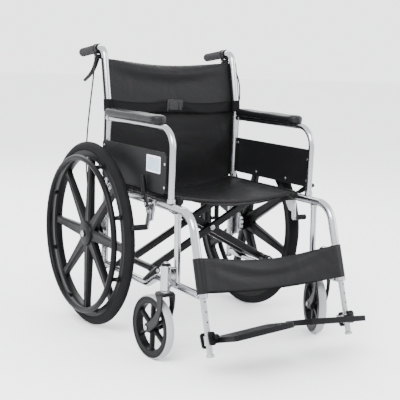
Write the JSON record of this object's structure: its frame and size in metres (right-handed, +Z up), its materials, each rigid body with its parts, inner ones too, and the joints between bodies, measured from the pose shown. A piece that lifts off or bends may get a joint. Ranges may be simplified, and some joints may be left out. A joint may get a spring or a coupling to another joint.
{
  "type": "manual wheelchair",
  "caption": "Folding manual wheelchair with a cross-braced tube frame, sling seat and back, spoked rear wheels with hand rims, swivel casters, wheel locks and flip-up footplates.",
  "frame": {"origin": "on the floor, under the middle of the overall box", "axes": "+Z up, +X towards the user's left, the user faces -Y"},
  "size_m": [0.7224, 1.0487, 0.9134],
  "materials": {
    "frame_silver": "satin silver tube",
    "hardware": "plain zinc-plated steel",
    "cross_black": "satin black paint",
    "black_plastic": "satin moulded black",
    "tyre": "matte dark grey rubber",
    "caster_grey": "pale grey solid tread",
    "grip_rubber": "ribbed dark grey",
    "arm_pad": "padded black skin",
    "cable": "black cable sleeve",
    "upholstery": "black woven nylon with a slight sheen",
    "belt": "black webbing"
  },
  "bodies": {
    "right_frame": {"right_rear_upright": "frame_silver", "right_side_rail": "frame_silver", "right_arm_tube": "frame_silver", "right_front_post": "frame_silver", "right_lower_rail": "frame_silver", "right_caster_barrel": "frame_silver", "right_axle_plate": "hardware", "right_wheel_axle": "hardware", "right_arm_pad": "arm_pad", "right_side_panel": "black_plastic", "right_grip": "grip_rubber", "right_lever_mount": "black_plastic", "right_brake_cable": "cable", "right_lock_bracket": "hardware", "back_upholstery": "upholstery", "back_belt": "belt", "calf_strap": "upholstery"},
    "left_frame": {"left_rear_upright": "frame_silver", "left_side_rail": "frame_silver", "left_arm_tube": "frame_silver", "left_front_post": "frame_silver", "left_lower_rail": "frame_silver", "left_caster_barrel": "frame_silver", "left_axle_plate": "hardware", "left_wheel_axle": "hardware", "left_arm_pad": "arm_pad", "left_side_panel": "black_plastic", "left_grip": "grip_rubber", "left_lever_mount": "black_plastic", "left_brake_cable": "cable", "left_lock_bracket": "hardware"},
    "belt_buckle": {"belt_buckle": "black_plastic"},
    "cross_a": {"cross_brace_a": "cross_black"},
    "cross_b": {"cross_brace_b": "cross_black"},
    "seat": {"seat_sling": "upholstery"},
    "right_wheel": {"right_wheel": "black_plastic", "right_tyre": "tyre", "right_handrim": "black_plastic"},
    "right_caster_fork": {"right_caster_fork": "cross_black"},
    "right_caster_wheel": {"right_caster_wheel": "black_plastic", "right_caster_tyre": "caster_grey"},
    "right_leg_extension": {"right_leg_extension": "frame_silver"},
    "right_footplate": {"right_footplate": "black_plastic"},
    "right_hand_lever": {"right_brake_lever": "black_plastic"},
    "right_brake_arm": {"right_brake_arm": "hardware"},
    "right_lock_lever": {"right_lock_lever": "black_plastic"},
    "right_lock_shoe": {"right_lock_shoe": "black_plastic"},
    "left_wheel": {"left_wheel": "black_plastic", "left_tyre": "tyre", "left_handrim": "black_plastic"},
    "left_caster_fork": {"left_caster_fork": "cross_black"},
    "left_caster_wheel": {"left_caster_wheel": "black_plastic", "left_caster_tyre": "caster_grey"},
    "left_leg_extension": {"left_leg_extension": "frame_silver"},
    "left_footplate": {"left_footplate": "black_plastic"},
    "left_hand_lever": {"left_brake_lever": "black_plastic"},
    "left_brake_arm": {"left_brake_arm": "hardware"},
    "left_lock_lever": {"left_lock_lever": "black_plastic"},
    "left_lock_shoe": {"left_lock_shoe": "black_plastic"}
  },
  "joints": [
    {"name": "fold", "type": "hinge", "parent": "right_frame", "child": "cross_a", "pos_m": [-0.215, 0.048, 0.228], "axis": [0, -1, 0], "range_deg": [0, 51.4], "deforming": ["seat_sling", "back_upholstery", "back_belt", "calf_strap"]},
    {"name": "brace_pivot", "type": "hinge", "parent": "cross_a", "child": "cross_b", "pos_m": [0, 0.048, 0.345], "axis": [0, -1, 0], "range_deg": [-102.8, 0]},
    {"name": "left_brace_hinge", "type": "hinge", "parent": "cross_b", "child": "left_frame", "pos_m": [0.215, 0.048, 0.228], "axis": [0, -1, 0], "range_deg": [0, 51.4]},
    {"name": "seat_rise", "type": "hinge", "parent": "cross_b", "child": "seat", "pos_m": [-0.215, 0.048, 0.462], "axis": [0, -1, 0], "range_deg": [0, 51.4]},
    {"name": "buckle_shift", "type": "slide", "parent": "right_frame", "child": "belt_buckle", "axis": [-1, 0, 0], "range_m": [0, 0.1723]},
    {"name": "right_wheel_spin", "type": "hinge", "parent": "right_frame", "child": "right_wheel", "pos_m": [-0.314, 0.224, 0.3], "axis": [1, 0, 0], "continuous": true},
    {"name": "right_caster_swivel", "type": "hinge", "parent": "right_frame", "child": "right_caster_fork", "pos_m": [-0.293, -0.24, 0.25], "axis": [0, 0, 1], "continuous": true},
    {"name": "right_caster_spin", "type": "hinge", "parent": "right_caster_fork", "child": "right_caster_wheel", "pos_m": [-0.29698, -0.18314, 0.095], "axis": [0.9976, 0.0698, 0], "continuous": true},
    {"name": "right_leg_slide", "type": "slide", "parent": "right_frame", "child": "right_leg_extension", "axis": [0, -0.3173, -0.9483], "range_m": [-0.05, 0.02]},
    {"name": "right_footplate_flip", "type": "hinge", "parent": "right_leg_extension", "child": "right_footplate", "pos_m": [-0.24308, -0.41061, 0.12217], "axis": [0, -0.9455, 0.3256], "range_deg": [0, 85]},
    {"name": "right_brake_squeeze", "type": "hinge", "parent": "right_frame", "child": "right_hand_lever", "pos_m": [-0.252, 0.31863, 0.87239], "axis": [1, 0, 0], "range_deg": [0, 25], "stiffness_Nm_per_rad": 1, "springref_deg": -8.59},
    {"name": "right_drum_brake", "type": "hinge", "parent": "right_frame", "child": "right_brake_arm", "pos_m": [-0.2845, 0.224, 0.3], "axis": [1, 0, 0], "range_deg": [0, 12]},
    {"name": "right_lock_throw", "type": "hinge", "parent": "right_frame", "child": "right_lock_lever", "pos_m": [-0.2805, -0.089, 0.446], "axis": [1, 0, 0], "range_deg": [-27, 82]},
    {"name": "right_shoe_swing", "type": "hinge", "parent": "right_frame", "child": "right_lock_shoe", "pos_m": [-0.2735, -0.096, 0.424], "axis": [1, 0, 0], "range_deg": [-22, 8]},
    {"name": "left_wheel_spin", "type": "hinge", "parent": "left_frame", "child": "left_wheel", "pos_m": [0.314, 0.224, 0.3], "axis": [1, 0, 0], "continuous": true},
    {"name": "left_caster_swivel", "type": "hinge", "parent": "left_frame", "child": "left_caster_fork", "pos_m": [0.293, -0.24, 0.25], "axis": [0, 0, 1], "continuous": true},
    {"name": "left_caster_spin", "type": "hinge", "parent": "left_caster_fork", "child": "left_caster_wheel", "pos_m": [0.31527, -0.18753, 0.095], "axis": [0.9205, -0.3907, 0], "continuous": true},
    {"name": "left_leg_slide", "type": "slide", "parent": "left_frame", "child": "left_leg_extension", "axis": [0, -0.3173, -0.9483], "range_m": [-0.05, 0.02]},
    {"name": "left_footplate_flip", "type": "hinge", "parent": "left_leg_extension", "child": "left_footplate", "pos_m": [0.24308, -0.41061, 0.12217], "axis": [0, 0.9455, -0.3256], "range_deg": [0, 85]},
    {"name": "left_brake_squeeze", "type": "hinge", "parent": "left_frame", "child": "left_hand_lever", "pos_m": [0.252, 0.31863, 0.87239], "axis": [1, 0, 0], "range_deg": [0, 25], "stiffness_Nm_per_rad": 1, "springref_deg": -8.59},
    {"name": "left_drum_brake", "type": "hinge", "parent": "left_frame", "child": "left_brake_arm", "pos_m": [0.2845, 0.224, 0.3], "axis": [1, 0, 0], "range_deg": [0, 12]},
    {"name": "left_lock_throw", "type": "hinge", "parent": "left_frame", "child": "left_lock_lever", "pos_m": [0.2805, -0.089, 0.446], "axis": [1, 0, 0], "range_deg": [-109, 0]},
    {"name": "left_shoe_swing", "type": "hinge", "parent": "left_frame", "child": "left_lock_shoe", "pos_m": [0.2735, -0.096, 0.424], "axis": [1, 0, 0], "range_deg": [0, 29]}
  ],
  "couplings": [
    {"joint": "brace_pivot", "follows": "fold", "ratio": -2},
    {"joint": "left_brace_hinge", "follows": "fold", "ratio": 1},
    {"joint": "seat_rise", "follows": "fold", "ratio": 1},
    {"joint": "buckle_shift", "follows": "fold", "m_per_rad": 0.19206},
    {"joint": "right_footplate_flip", "follows": "fold", "ratio": 1.6},
    {"joint": "right_drum_brake", "follows": "right_brake_squeeze", "ratio": 0.4},
    {"joint": "right_shoe_swing", "follows": "right_lock_throw", "ratio": -0.256},
    {"joint": "left_footplate_flip", "follows": "fold", "ratio": 1.6},
    {"joint": "left_drum_brake", "follows": "left_brake_squeeze", "ratio": 0.4},
    {"joint": "left_shoe_swing", "follows": "left_lock_throw", "ratio": -0.256}
  ]
}
